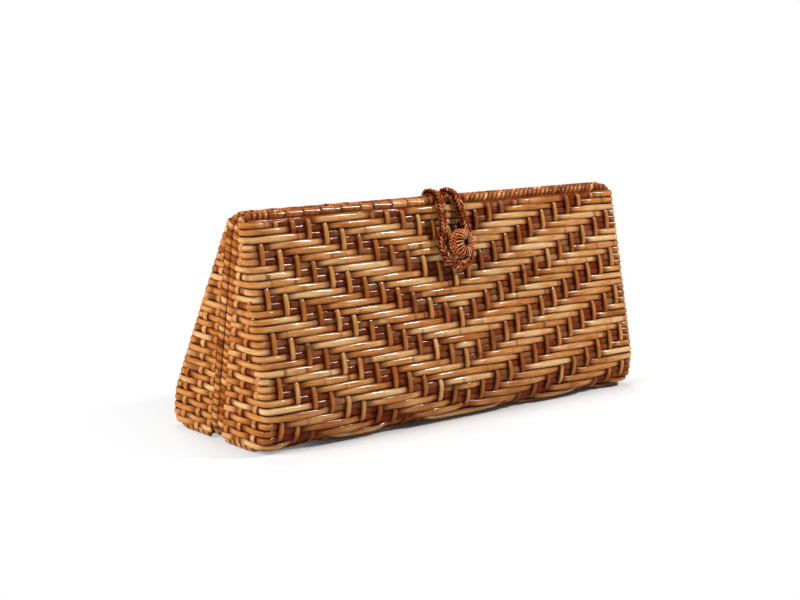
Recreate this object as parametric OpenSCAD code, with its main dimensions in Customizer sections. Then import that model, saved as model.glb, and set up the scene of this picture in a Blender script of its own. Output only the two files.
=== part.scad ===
// Clamshell clutch bag woven from rattan cane: two basket halves meet in an upright seam,
// are lashed together along the base, and close with a braided loop over a knotted button.
// X runs along the bag, the front half is at -Y, +Z is up and the base rests on Z = 0.

/* [Body] */
// Width of the bag over the weave on its two ends
bag_w = 292; // [220:1:360]
// Height of the bag to the top of its rims
bag_h = 112; // [90:1:150]
// Depth of one half at its base, from the seam to the front of the weave
half_depth = 34; // [28:0.5:50]
// Depth of one half at the top edge of its woven wall
top_depth = 7.2; // [6:0.2:12]
// Height at which the face stops leaning and drops straight to the base
knee_h = 20; // [14:1:40]
// Radius of the upright corners between the face and the ends
corner_r = 5; // [4.5:0.5:8]
// Radius of the turned-under edges at the base
base_r = 9; // [7:0.5:12]
// Thickness of the woven wall under its raised strands
wall_t = 1.9; // [1.6:0.1:3]

/* [Weave] */
// Number of upright stakes on each face, an odd number
stake_count = 25; // [15:2:31]
// Width of a stake where it shows between the weavers
stake_w = 3.8; // [2.5:0.1:5]
// Distance from one row of weavers to the next
row_pitch = 3.55; // [3:0.05:5]
// Gap left between neighbouring strands
strand_gap = 0.5; // [0.3:0.05:0.8]
// Stakes that a weaver passes over, and then under
twill = 3; // [2:1:4]
// Rows by which the point of the V is set down from the top
twill_start = 3; // [0:1:5]
// Height of the raised strands above the wall
relief = 1.6; // [0.8:0.1:2]
// Distance between the stakes on the ends
end_stake_pitch = 10; // [8:0.5:14]

/* [Rims] */
// Diameter of the bent cane rod round each mouth
rim_d = 3.4; // [3:0.1:5]
// Radius of the rod's corners, at its centre line
rim_corner_r = 7; // [5:0.5:12]
// Thickness of the cane binding on the rods
bind_t = 0.4; // [0.3:0.05:0.8]
// Width of one turn of binding
bind_w = 2.4; // [1.5:0.1:4]
// Height of the hinge rods above the table
hinge_lift = 1.5; // [1.3:0.1:3]

/* [Hinge] */
// Turns of cane in each lashing
lashing_turns = 4; // [2:1:6]
// Width of one turn of a lashing
lashing_w = 1.9; // [1.2:0.1:3]
// Thickness of the lashing cane
lashing_t = 1; // [0.6:0.1:1.3]

/* [Closure] */
// Diameter of the knotted button
button_d = 14.6; // [12:0.2:18]
// Depth of the button from front to back
button_depth = 8.6; // [7:0.2:10]
// Distance below the top of the rims at which the button is tied to the face
button_drop = 23.5; // [20:0.5:30]
// Space between the weave and the back of the button
button_gap = 2.2; // [1.6:0.1:4]
// Diameter of the cane shank that ties the button on
shank_d = 3.6; // [2.5:0.1:5]
// Number of strands in the rosette on the button
rosette_count = 18; // [14:2:28]
// Width of the braided loop's strand
loop_w = 5; // [4:0.1:6]
// Thickness of the braided loop's strand
loop_t = 3.8; // [3:0.1:5]
// Distance between the loop's legs where they cross the rims
loop_leg_span = 12.6; // [11:0.2:18]
// Space between the button and the loop round it
loop_clear = 1.6; // [1.4:0.1:3]

/* [Hidden] */
lashing_count = 5;
$fn = 48;
// Running clearance between pieces that move, and between neighbours that only meet
clear = 0.3;
fit = 0.1;
cane = "#c08a45";
dark_cane = "#8f4f26";
braid_cane = "#a8622f";

rim_r = rim_d / 2;
bound_r = rim_r + bind_t;
// Centre lines of the rods: their offset from the seam, their inset from the ends and their heights
rim_y = bound_r + clear / 2;
rim_x = bag_w / 2 - bound_r;
rim_top = bag_h - bound_r;
rim_base = hinge_lift + rim_r;
// The woven wall stops just short of the bound rods
mouth_y = rim_y + bound_r + clear;
shell_top = rim_top - bound_r - clear;
// The leaning stretch of the face
lean = atan((half_depth - top_depth) / (shell_top - knee_h));
skin = relief;
inner = relief + wall_t;
stake_pitch = bag_w / (stake_count + 1);
half_stakes = (stake_count - 1) / 2;
flat_half_w = bag_w / 2 - corner_r;

// Arc lengths down the side profile of the wall's skin, from the top edge to the mouth in the base
knee_c = [-(half_depth - corner_r), knee_h];
base_c = [-(half_depth - base_r), base_r];
lean_len = (shell_top - knee_h - (corner_r - skin) * sin(lean)) / cos(lean);
knee_len = (corner_r - skin) * lean * PI / 180;
drop_len = knee_h - base_r;
turn_len = (base_r - skin) * PI / 2;
base_len = half_depth - base_r - mouth_y;
// Depth to which the raised strands are rooted in the wall
sink = 0.6;
// Unevenness of the hand weaving: how far each raised strand may lie off its place
waver = 0.06;
row_count = floor((lean_len + knee_len + drop_len + turn_len + base_len) / row_pitch);
// Rows that run on round the ends, and those of them that turn an upright corner
end_rows = floor((lean_len + knee_len + knee_h - corner_r) / row_pitch);
corner_rows = floor((lean_len + knee_len + drop_len) / row_pitch);

// [y, z, tilt] of the skin at arc length s, where tilt turns +Z to the outward normal
function side_profile(s) =
    s < lean_len ? let (left = lean_len - s)
        [knee_c[0] - (corner_r - skin) * cos(lean) + left * sin(lean),
         knee_c[1] + (corner_r - skin) * sin(lean) + left * cos(lean), 90 - lean]
    : s < lean_len + knee_len ? let (a = lean * (1 - (s - lean_len) / knee_len))
        [knee_c[0] - (corner_r - skin) * cos(a), knee_c[1] + (corner_r - skin) * sin(a), 90 - a]
    : s < lean_len + knee_len + drop_len ? let (down = s - lean_len - knee_len)
        [-half_depth + skin, knee_h - down, 90]
    : s < lean_len + knee_len + drop_len + turn_len
        ? let (a = 90 * (s - lean_len - knee_len - drop_len) / turn_len)
        [base_c[0] - (base_r - skin) * cos(a), base_c[1] - (base_r - skin) * sin(a), 90 + a]
    : let (on = s - lean_len - knee_len - drop_len - turn_len) [base_c[0] + on, skin, 180];

// Lashings along the base, spread evenly, and the radius of a lashing round its rod
lashing_pitch = lashing_w + fit;
lashing_len = lashing_turns * lashing_pitch;
lashing_r = rim_r + fit + lashing_t;
lashing_xs = [for (i = [0 : lashing_count - 1]) (i + 0.5 - lashing_count / 2) * bag_w / lashing_count];
// Eyes of the closing loop on the back rod, and the turn of cane behind the button
eye_r = rim_r + fit + 0.85;
eye_pitch = 2;
stop_t = 2.2;
// Where the button is tied, as an arc length down the face
button_s = lean_len - (bag_h - button_drop - knee_h - (corner_r - skin) * sin(lean)) / cos(lean);

function row_s(row) = (row + 0.5) * row_pitch;
// How far the strand at this stake and row lies off its place
function off_place(stake, row) = waver * sin(47 * stake + 91 * row);
// Height at which a row runs round the ends
function end_z(row) = let (s = row_s(row))
    s < lean_len + knee_len ? side_profile(s)[1] : knee_h - (s - lean_len - knee_len);
// Depth of the skin behind the seam at height z on the leaning stretch or below it
function skin_depth(z) = z > knee_h
    ? half_depth - corner_r + (corner_r - skin) / cos(lean) - (z - knee_h) * tan(lean)
    : half_depth - skin;
// The weave: true where the weaver of this row passes over this stake, counted from the middle
function is_over(stake, row) = (row + abs(stake) + 2 * twill - twill_start % (2 * twill)) % (2 * twill) >= twill;
function run_over(stake, row) = stake > half_stakes + 1 || !is_over(stake, row) ? 0 : 1 + run_over(stake + 1, row);
function run_under(stake, row) = row >= row_count || is_over(stake, row) ? 0 : 1 + run_under(stake, row + 1);

// A point at height h above the skin of the face or base, s down the side profile
function on_skin(x, s, h) = let (p = side_profile(s)) [x, p[0] - sin(p[2]) * h, p[1] + cos(p[2]) * h];
// Strands on the base have flat crowns, which the bag stands on
function crown_at(s) = side_profile(s)[2] > 150 ? row_pitch / 3 : 0;
function crest(crown) = crown > 0 ? [-crown / 2, crown / 2] : [0];

// The solid that encloses a list of points
module enclose(points) {
    hull() polyhedron(points, [[for (i = [0 : len(points) - 1]) i]]);
}

// Weavers that pass over the stakes, row by row: roof-shaped strands that dip at their ends
module face_weavers() {
    edge = flat_half_w - strand_gap;
    half_w = (row_pitch - strand_gap) / 2;
    for (row = [0 : row_count - 1], stake = [-half_stakes - 1 : half_stakes + 1])
        if (is_over(stake, row) && (stake == -half_stakes - 1 || !is_over(stake - 1, row))) {
            from = max(-edge, (stake - 1) * stake_pitch + stake_w / 2 + strand_gap);
            to = min(edge, (stake + run_over(stake, row)) * stake_pitch - stake_w / 2 - strand_gap);
            dip = min(3, (to - from) / 3);
            s = row_s(row) + off_place(stake, row);
            if (to - from > stake_w)
                enclose(concat(
                    [for (x = [from, to], t = [-half_w, half_w]) on_skin(x, s + t, -sink)],
                    [for (x = [from + dip, to - dip], t = crest(crown_at(s))) on_skin(x, s + t, relief)]));
        }
}

// Stakes where they show, each over as many rows as the weavers pass behind it; the base is pressed flat
module face_stakes() {
    half_w = (stake_w - strand_gap) / 2;
    for (stake = [-half_stakes : half_stakes], row = [0 : row_count - 1])
        if (run_under(stake, row) > 1 && (row == 0 || is_over(stake, row - 1))) {
            from = row * row_pitch + strand_gap / 2 + off_place(stake, row);
            to = (row + run_under(stake, row)) * row_pitch - strand_gap / 2 + off_place(stake, row);
            middle = (from + to) / 2;
            dip = min(1.6, (to - from) / 3);
            x = stake * stake_pitch + off_place(row, stake);
            bends = side_profile(to)[2] > side_profile(from)[2] + 1;
            crests = bends ? [from + dip, middle, to - dip] : [from + dip, to - dip];
            if (crown_at(middle) == 0)
                enclose(concat(
                    [for (s = [from, to], t = [-half_w, half_w]) on_skin(x + t, s, -sink)],
                    [for (s = crests) on_skin(x, s, relief)]));
        }
}

// Plain weave on one end: each weaver passes over every second stake
module end_weavers() {
    x = bag_w / 2 - skin;
    half_w = (row_pitch - strand_gap) / 2;
    for (row = [0 : end_rows - 1], k = [0 : ceil(half_depth / end_stake_pitch)]) {
        z = end_z(row) + off_place(k, row);
        middle = mouth_y + end_stake_pitch * (k + 0.5);
        from = max(mouth_y + strand_gap, middle - end_stake_pitch + stake_w / 2);
        to = min(skin_depth(z) - corner_r, middle + end_stake_pitch - stake_w / 2);
        dip = min(3, (to - from) / 3);
        if ((row + k) % 2 == 0 && to - from > 1.5 * stake_w)
            enclose(concat(
                [for (y = [from, to], t = [-half_w, half_w]) [x - sink, -y, z + t]],
                [for (y = [from + dip, to - dip]) [x + relief, -y, z]]));
    }
}

// Weavers that turn the corner between the face and one end, on every second row
module corner_weavers() {
    arc_r = corner_r - skin;
    half_w = (row_pitch - strand_gap) / 2;
    for (row = [0 : 2 : corner_rows - 1]) {
        z = end_z(row);
        middle = [flat_half_w, -skin_depth(z) + arc_r];
        enclose([for (a = [-2, 44, 92], rise = [[-half_w, -sink], [0, relief], [half_w, -sink]])
            [middle[0] + (arc_r + rise[1]) * sin(a), middle[1] - (arc_r + rise[1]) * cos(a), z + rise[0]]]);
    }
}

// Side outline of one half, drawn in by inset from the crests of the weave and left long past the seam
function side_outline(inset) = let (rise = 2 * bag_h, past = half_depth) concat(
    [[past, inset], [past, rise], [knee_c[0] - (corner_r - inset) / cos(lean) + (rise - knee_h) * tan(lean), rise]],
    [for (a = [lean, 0]) knee_c + (corner_r - inset) * [-cos(a), sin(a)]],
    [for (a = [0 : 30 : 90]) base_c - (base_r - inset) * [cos(a), sin(a)]]);

// Convex body of one half, with its ends rounded over by corner_r
module half_body(inset) {
    hull() for (side = [-1, 1], a = [0 : 45 : 90]) {
        turn_r = corner_r - inset;
        translate([side * (flat_half_w + turn_r * sin(a)), 0, 0]) rotate([90, 0, 90])
            linear_extrude(0.01, center = true) polygon(side_outline(inset + turn_r * (1 - cos(a))));
    }
}

// Keeps the part of its children that clears the bound rod: in front of the mouth, or inside the hoop
module within_rims() {
    inside_x = rim_x - rim_corner_r;
    inside_z = rim_base + rim_corner_r;
    intersection() {
        children();
        union() {
            translate([-bag_w, -2 * half_depth, -bag_h])
                cube([2 * bag_w, 2 * half_depth - mouth_y, bag_h + shell_top]);
            translate([-inside_x, -2 * half_depth, inside_z])
                cube([2 * inside_x, 2 * half_depth - clear, shell_top - inside_z]);
        }
    }
}

// Woven wall of one half: the face, the two ends and half of the base, notched for the hinge lashings
module woven_wall() {
    difference() {
        within_rims() difference() {
            union() {
                half_body(skin);
                face_weavers();
                face_stakes();
                for (side = [0, 1]) mirror([side, 0, 0]) {
                    end_weavers();
                    corner_weavers();
                }
            }
            half_body(inner);
        }
        for (x = lashing_xs) translate([x - lashing_len / 2 - clear, -rim_y - lashing_r - clear, -1])
            cube([lashing_len + 2 * clear, mouth_y, rim_base + 2]);
    }
}

// Bent cane rod round the mouth of one half, with rounded corners
module rim_rod() {
    long = 2 * (rim_x - rim_corner_r);
    tall = rim_top - rim_base - 2 * rim_corner_r;
    middle = (rim_top + rim_base) / 2;
    translate([0, -rim_y, 0]) {
        for (z = [rim_base, rim_top]) translate([0, 0, z]) rotate([0, 90, 0])
            cylinder(h = long, d = rim_d, center = true);
        for (side = [-1, 1]) translate([side * rim_x, 0, middle]) cylinder(h = tall, d = rim_d, center = true);
        for (side = [-1, 1], up = [0, 1])
            translate([side * (rim_x - rim_corner_r), 0, up ? rim_top - rim_corner_r : rim_base + rim_corner_r])
                rotate([90, up ? (side > 0 ? 0 : -90) : (side > 0 ? 90 : 180), 0])
                    rotate_extrude(angle = 90) translate([rim_corner_r, 0]) circle(d = rim_d);
    }
}

// One turn of binding cane round a rod along Z
module binding_turn() {
    difference() {
        cylinder(h = bind_w, r = bound_r, center = true);
        cylinder(h = bind_w + 1, r = rim_r + fit / 2, center = true);
    }
}

// Turns of binding round a rod: along the top outwards from the loop's eyes, with one between them,
// along the base at every stake that leaves room for the lashings, and up the ends
module rim_binding() {
    last = rim_x - rim_corner_r - bind_w;
    beside_eye = loop_leg_span / 2 + eye_pitch * 1.5 + 2 * clear + bind_w / 2;
    rises = floor((rim_top - rim_base - 2 * rim_corner_r - bind_w) / stake_pitch);
    function by_lashing(x) = len([for (at = lashing_xs) if (abs(x - at) < (lashing_len + bind_w) / 2 + clear) 1]) > 0;
    translate([0, -rim_y, 0]) {
        translate([0, 0, rim_top]) rotate([0, 90, 0]) binding_turn();
        for (side = [-1, 1], x = [beside_eye : stake_pitch : last])
            translate([side * x, 0, rim_top]) rotate([0, 90, 0]) binding_turn();
        for (x = [-floor(last / stake_pitch) * stake_pitch : stake_pitch : last + 0.01])
            if (!by_lashing(x)) translate([x, 0, rim_base]) rotate([0, 90, 0]) binding_turn();
        for (side = [-1, 1], i = [0 : rises])
            translate([side * rim_x, 0, (rim_top + rim_base) / 2 + (i - rises / 2) * stake_pitch]) binding_turn();
    }
}

// Outline of a lashing round both hinge rods, with the given radius at its two ends
module lashing_outline(radius) {
    for (side = [-1, 1]) translate([side * rim_y, 0]) circle(radius);
    square([2 * rim_y, 2 * radius], center = true);
}

// One hinge lashing: separate turns of cane side by side round the two base rods
module hinge_lashing(x) {
    for (turn = [0 : lashing_turns - 1])
        translate([x + (turn - (lashing_turns - 1) / 2) * lashing_pitch, 0, rim_base]) rotate([90, 0, 90])
            linear_extrude(lashing_w, center = true) difference() {
                lashing_outline(lashing_r);
                lashing_outline(rim_r + fit);
            }
}

// Places its children where the button is tied: +Z out of the face, +Y up it
module at_button() {
    p = side_profile(button_s);
    translate([0, p[0], p[1]]) rotate([p[2], 0, 0]) children();
}

// Knotted button: a flattened ball whose strands lap round its side and meet in a rosette round a hollow
module button_ball() {
    around = 2 * rosette_count;
    back = relief + button_gap;
    // [distance from the back, radius, depth of the grooves] along the ball
    profile = [[0, shank_d / 2 + 0.4, 0], [0.06, 0.62, 0.02], [0.22, 0.88, 0.05], [0.42, 1, 0.06],
               [0.62, 1, 0.06], [0.82, 0.93, 0.07], [0.96, 0.7, 0.08], [1, 0.4, 0.06], [0.92, 0.2, 0]];
    function ring(p, i) = [for (k = [0 : around - 1]) let (
            r = i == 0 ? p[1] : button_d / 2 * (p[1] - ((k + (i > 4 ? 0 : i)) % 2) * p[2]), a = 360 * k / around)
        [r * cos(a), r * sin(a), back + p[0] * button_depth]];
    rings = len(profile);
    points = concat([for (i = [0 : rings - 1]) each ring(profile[i], i)], [[0, 0, back + 0.7 * button_depth]]);
    polyhedron(points, concat(
        [[for (k = [0 : around - 1]) k]],
        [for (i = [0 : rings - 2], k = [0 : around - 1]) let (a = i * around + k, b = i * around + (k + 1) % around)
            each [[a, a + around, b], [b, a + around, b + around]]],
        [for (k = [0 : around - 1]) let (a = (rings - 1) * around)
            [a + k, rings * around, a + (k + 1) % around]]));
}

// Cane shank that ties the button through the weave, and the turn of cane that holds it inside
module shank_rod() {
    inside = wall_t + stop_t + 1;
    translate([0, 0, -inside]) cylinder(h = inside + relief + button_gap, d = shank_d);
}

module stop_ring() {
    translate([0, 0, -wall_t - stop_t - fit]) rotate_extrude() translate([shank_d / 2 + fit + stop_t / 2, stop_t / 2])
        circle(d = stop_t);
}

// Centre line of the braided loop, from its eye on the back rod over both rims and round the button.
// Each entry is a place and the direction that the flat of the braid faces there.
loop_lift = relief + button_gap + button_depth / 3;
loop_low = -(button_d / 2 + loop_clear + loop_w / 2);
loop_side = button_d / 2 + loop_clear + loop_w / 2 - 0.2;
loop_over = bag_h + clear + loop_t / 2 + 0.4;
face_up = [0, sin(lean), cos(lean)];
face_out = [0, -cos(lean), sin(lean)];
tie = let (p = side_profile(button_s)) [0, p[0], p[1]];
function by_button(x, up, out) = tie + [x, 0, 0] + up * face_up + out * face_out;
loop_stations = [
    [[loop_leg_span / 2, rim_y, rim_top + eye_r + loop_t / 2 - 0.5], [0, 0.1, 1]],
    [[loop_leg_span / 2, -rim_y + 1.6, loop_over], [0, -0.1, 1]],
    [[loop_leg_span / 2 + 0.3, -mouth_y - 2.2, loop_over - 2.4], [0, -0.75, 0.66]],
    [by_button(loop_side - 2.6, -loop_low * 0.8, loop_lift - 0.6), face_out],
    [by_button(loop_side, 0, loop_lift - 1.2), face_out],
    [by_button(loop_side * 0.66, loop_low * 0.76, loop_lift), face_out],
    [by_button(0, loop_low, loop_lift + 0.6), face_out]];
function flip(s) = [for (v = s) [-v[0], v[1], v[2]]];
loop_all = concat(loop_stations, [for (i = [len(loop_stations) - 2 : -1 : 0]) flip(loop_stations[i])]);

// A smooth curve through the stations, with steps places to each stretch
function smooth(list, steps) = let (n = len(list)) concat([for (i = [0 : n - 2], j = [0 : steps - 1])
    let (t = j / steps, a = list[max(i - 1, 0)], b = list[i], c = list[i + 1], d = list[min(i + 2, n - 1)])
    0.5 * (2 * b + (c - a) * t + (2 * a - 5 * b + 4 * c - d) * t * t + (3 * b - a - 3 * c + d) * t * t * t)],
    [list[n - 1]]);
function unit(v) = v / norm(v);

// Braided loop: a flat oval strand whose plaits swell and nip in along its length
module braid() {
    places = smooth([for (s = loop_all) s[0]], 4);
    facing = smooth([for (s = loop_all) unit(s[1])], 4);
    n = len(places);
    around = 8;
    function ring(i) = let (
            along = unit(places[min(i + 1, n - 1)] - places[max(i - 1, 0)]),
            across = unit(cross(facing[i], along)), out = cross(along, across),
            swell = i % 2 == 0 ? 1 : 0.9)
        [for (k = [0 : around - 1]) let (a = 360 * (k + 0.5) / around)
            places[i] + across * (loop_w / 2 * swell * cos(a)) + out * (loop_t / 2 * swell * sin(a))];
    polyhedron([for (i = [0 : n - 1]) each ring(i)], concat(
        [[for (k = [0 : around - 1]) k]],
        [for (i = [0 : n - 2], k = [0 : around - 1]) let (a = i * around + k, b = i * around + (k + 1) % around)
            each [[a, a + around, b], [b, a + around, b + around]]],
        [[for (k = [around - 1 : -1 : 0]) (n - 1) * around + k]]));
}

// Eye of the loop: turns of cane round the back rod that let the loop swing
module loop_eye(side) {
    for (turn = [-1, 0, 1]) translate([side * loop_leg_span / 2 + turn * eye_pitch, rim_y, rim_top]) rotate([0, 90, 0])
        difference() {
            cylinder(h = eye_pitch - fit, r = eye_r, center = true);
            cylinder(h = eye_pitch + 1, r = rim_r + fit, center = true);
        }
}

// Sub-parts of the bag, in assembly order

module back_half() { mirror([0, 1, 0]) children(); }

module back_shell() color(cane) difference() {
    back_half() woven_wall();
    for (side = [-1, 1]) translate([side * loop_leg_span / 2, rim_y, rim_top]) rotate([0, 90, 0])
        cylinder(h = 3 * eye_pitch + 2 * clear, r = eye_r + clear, center = true, $fn = 24);
}
module back_rim() color(dark_cane) back_half() rim_rod();
module back_rim_binding() color(cane) back_half() rim_binding();
module hinge_lashing_left() color(cane) hinge_lashing(lashing_xs[0]);
module hinge_lashing_mid_left() color(cane) hinge_lashing(lashing_xs[1]);
module hinge_lashing_middle() color(cane) hinge_lashing(lashing_xs[2]);
module hinge_lashing_mid_right() color(cane) hinge_lashing(lashing_xs[3]);
module hinge_lashing_right() color(cane) hinge_lashing(lashing_xs[4]);
module front_shell() color(cane) difference() {
    woven_wall();
    at_button() translate([0, 0, -10]) cylinder(h = 20, d = shank_d + 2 * fit, $fn = 24);
}
module front_rim() color(dark_cane) rim_rod();
module front_rim_binding() color(cane) rim_binding();
module button() color(braid_cane) at_button() button_ball();
module button_shank() color(dark_cane) at_button() shank_rod();
module button_stop() color(dark_cane) at_button() stop_ring();
module closure_loop() color(braid_cane) braid();
module loop_eye_left() color(braid_cane) loop_eye(-1);
module loop_eye_right() color(braid_cane) loop_eye(1);

back_shell();
back_rim();
back_rim_binding();
hinge_lashing_left();
hinge_lashing_mid_left();
hinge_lashing_middle();
hinge_lashing_mid_right();
hinge_lashing_right();
front_shell();
front_rim();
front_rim_binding();
button();
button_shank();
button_stop();
closure_loop();
loop_eye_left();
loop_eye_right();
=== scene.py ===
"""Rattan clamshell clutch: two woven halves, bound rims, hinge lashings, knotted button and braided loop."""

import math

import bmesh
import bpy
import numpy as np
from mathutils import Matrix, Vector


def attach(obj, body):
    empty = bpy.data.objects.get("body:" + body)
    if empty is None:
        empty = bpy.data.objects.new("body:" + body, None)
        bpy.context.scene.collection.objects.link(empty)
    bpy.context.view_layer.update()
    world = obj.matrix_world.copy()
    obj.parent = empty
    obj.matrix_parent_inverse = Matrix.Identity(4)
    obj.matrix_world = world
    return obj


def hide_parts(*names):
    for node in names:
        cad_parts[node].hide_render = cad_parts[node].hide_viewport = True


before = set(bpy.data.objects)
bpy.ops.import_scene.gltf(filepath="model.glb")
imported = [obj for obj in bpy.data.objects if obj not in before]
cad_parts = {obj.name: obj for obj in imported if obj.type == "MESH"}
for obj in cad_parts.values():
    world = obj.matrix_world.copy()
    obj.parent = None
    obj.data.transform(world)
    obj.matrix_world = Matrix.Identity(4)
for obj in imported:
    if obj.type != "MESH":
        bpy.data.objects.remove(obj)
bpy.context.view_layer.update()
rng = np.random.default_rng(7)
MM = 0.001

# Sizes of the bag in millimetres, as the solids have them
BAG_W, BAG_H = 292.0, 112.0
HALF_DEPTH, TOP_DEPTH, KNEE_H = 34.0, 7.2, 20.0
CORNER_R, BASE_R = 5.0, 9.0
RIM_R, BIND_T, CLEAR = 1.7, 0.4, 0.3
HINGE_LIFT, RIM_CORNER = 1.5, 7.0
RIM_Y = RIM_R + BIND_T + CLEAR / 2
RIM_X = BAG_W / 2 - RIM_R - BIND_T
RIM_TOP = BAG_H - RIM_R - BIND_T
RIM_BASE = HINGE_LIFT + RIM_R
MOUTH_Y = RIM_Y + RIM_R + BIND_T + CLEAR
WALL_TOP = RIM_TOP - RIM_R - BIND_T - CLEAR
LEAN = math.atan((HALF_DEPTH - TOP_DEPTH) / (WALL_TOP - KNEE_H))
STAKES, ROW = 25, 3.55
PITCH = BAG_W / (STAKES + 1)
HALF_STAKES = (STAKES - 1) // 2
LASHINGS = [(i - 2) * BAG_W / 5 for i in range(5)]
BUTTON_D, BUTTON_DEPTH, BUTTON_GAP, BUTTON_DROP = 14.6, 8.6, 2.2, 23.5
LOOP_W, LOOP_T, LOOP_CLEAR = 5.0, 3.8, 1.6
RUN_CLEAR, EYE_CANE_R = 0.1, 0.85
EYE_R = RIM_R + RUN_CLEAR + EYE_CANE_R
# The weave stands this far proud of the wall
SKIN = 1.6

# Camera of the photograph: focal length in its pixels, turns in degrees, distance in millimetres
FOCAL_PX, YAW, PITCH_DOWN, ROLL, DISTANCE = 2152.64, -48.44, 11.95, 5.5, 1118.14
AIM = Vector((-21.53, 0.0, 58.39)) * MM
PHOTO_WIDTH, SENSOR_WIDTH = 800.0, 36.0

# Floor: its width in metres, its grey and the share of plain white in it beside the bag
FLOOR_SIZE, PAPER, FLOOR_WHITE = 12.0, 0.66, 0.02
# Middle of the shadow on it, and the distances in metres between which it fades to plain white
SHADOW_AT, SHADOW_NEAR, SHADOW_FAR = (0.06, -0.06, 0.0), 0.15, 0.28
# Even light of the room
WORLD_FILL = 0.11
# Lamps: name, place, aim, width and height in metres, and watts
LAMPS = (
    ("left_box", (-1.2, 0.0, 0.62), (-0.1, 0, 0.05), (0.4, 0.4), 21),
    ("gloss_box", (0.86, -0.5, 0.86), (0, 0, 0.06), (0.07, 0.2), 19),
    ("top_box", (0.1, 0.55, 1.2), (0, 0, 0.05), (0.5, 0.4), 9),
)


def deselect():
    bpy.ops.object.select_all(action="DESELECT")


# Nodes of materials and world

class Nodes:
    """Nodes of one material or of the world, with short ways to add and join them."""

    def __init__(self, owner):
        owner.use_nodes = True
        self.nodes, self.links = owner.node_tree.nodes, owner.node_tree.links
        self.nodes.clear()

    def feed(self, socket, value):
        """Sets a socket to a plain value, or joins it to another node's output."""
        if isinstance(value, bpy.types.NodeSocket):
            self.links.new(value, socket)
        else:
            socket.default_value = value

    def add(self, kind, sockets):
        node = self.nodes.new(kind)
        for label, value in sockets.items():
            self.feed(node.inputs[label], value)
        return node

    def maths(self, operation, a, b=0.0, clamp=False):
        node = self.add("ShaderNodeMath", {0: a, 1: b})
        node.operation = operation
        node.use_clamp = clamp
        return node.outputs[0]

    def mix_shaders(self, amount, first, second):
        sockets = {0: amount, 1: first.outputs[0], 2: second.outputs[0]}
        return self.add("ShaderNodeMixShader", sockets).outputs[0]

    def seen_by_eye(self):
        """1 for camera, glossy and transmission rays, 0 for the light that falls on the bag."""
        path = self.nodes.new("ShaderNodeLightPath").outputs
        eye = self.maths("MAXIMUM", path["Is Camera Ray"], path["Is Glossy Ray"])
        return self.maths("MAXIMUM", eye, path["Is Transmission Ray"])

    def own_place(self):
        """The piece's own coordinates."""
        return self.nodes.new("ShaderNodeTexCoord").outputs["Object"]


# Camera, floor and light

def set_camera():
    bpy.ops.object.camera_add()
    cam = bpy.context.object
    cam.name = "photo_camera"
    a, e, r = (math.radians(v) for v in (YAW, PITCH_DOWN, ROLL))
    back = Vector((math.sin(a) * math.cos(e), -math.cos(a) * math.cos(e), math.sin(e)))
    right = (-back).cross(Vector((0, 0, 1))).normalized()
    up = right.cross(-back)
    turned_right = math.cos(r) * right + math.sin(r) * up
    turned_up = -math.sin(r) * right + math.cos(r) * up
    rows = Matrix((turned_right, turned_up, back)).transposed()
    cam.matrix_world = Matrix.Translation(AIM + back * DISTANCE * MM) @ rows.to_4x4()
    cam.data.sensor_width = SENSOR_WIDTH
    cam.data.lens = FOCAL_PX * SENSOR_WIDTH / PHOTO_WIDTH
    cam.data.clip_start, cam.data.clip_end = 0.05, 50.0
    bpy.context.scene.camera = cam


def make_floor():
    """White sweep: it takes the bag's shadow near the bag and fades to plain white further out."""
    deselect()
    bpy.ops.mesh.primitive_plane_add(size=FLOOR_SIZE, location=(0, 0, 0))
    floor = bpy.context.object
    floor.name = "studio_floor"
    look = bpy.data.materials.new("white_sweep")
    sweep = Nodes(look)
    away = sweep.add("ShaderNodeVectorMath", {0: sweep.own_place(), 1: SHADOW_AT})
    away.operation = "DISTANCE"
    ends = {"From Min": SHADOW_NEAR, "From Max": SHADOW_FAR, "To Min": FLOOR_WHITE, "To Max": 1.0}
    fade = sweep.add("ShaderNodeMapRange", {"Value": away.outputs["Value"], **ends})
    fade.interpolation_type = "SMOOTHSTEP"
    share = sweep.maths("MULTIPLY", sweep.seen_by_eye(), fade.outputs[0])
    paper = sweep.add("ShaderNodeBsdfDiffuse", {"Color": (PAPER, PAPER, PAPER, 1)})
    glow = sweep.add("ShaderNodeEmission", {"Color": (1, 1, 1, 1)})
    sweep.add("ShaderNodeOutputMaterial", {"Surface": sweep.mix_shaders(share, paper, glow)})
    floor.data.materials.append(look)


def make_world():
    world = bpy.data.worlds.new("studio")
    bpy.context.scene.world = world
    room = Nodes(world)
    fill = room.add("ShaderNodeBackground", {"Color": (1, 1, 1, 1), "Strength": WORLD_FILL})
    white = room.add("ShaderNodeBackground", {"Color": (1, 1, 1, 1), "Strength": 1.0})
    room.add("ShaderNodeOutputWorld", {"Surface": room.mix_shaders(room.seen_by_eye(), fill, white)})
    bpy.context.scene.view_settings.view_transform = "Standard"


def add_lamp(name, place, aim, size, watts):
    bpy.ops.object.light_add(type="AREA", location=place)
    lamp = bpy.context.object
    lamp.name = name
    lamp.data.shape = "RECTANGLE"
    lamp.data.size, lamp.data.size_y = size
    lamp.data.energy = watts
    lamp.rotation_mode = "QUATERNION"
    lamp.rotation_quaternion = (Vector(aim) - Vector(place)).to_track_quat("-Z", "Y")


# Cane finishes

# Speed of the grain along and round a strand, and how far the grain and a slow drift change its tone
GRAIN_ALONG, GRAIN_ROUND, GRAIN_TONE, DRIFT_TONE = 0.05, 4.2, 1.6, 1.0
# Each strand reads a part of the noise for itself
GRAIN_SEED, JOINT_SEED = 91.7, 233.0
# Joints of the cane: spacing, ragged edge, where they begin in the noise, sharpness and tone
JOINT_STEP, JOINT_RAG, JOINT_FROM, JOINT_SHARP = 0.17, 0.16, 0.7, 9.0
JOINT_TONE = (84, 42, 18)
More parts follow.
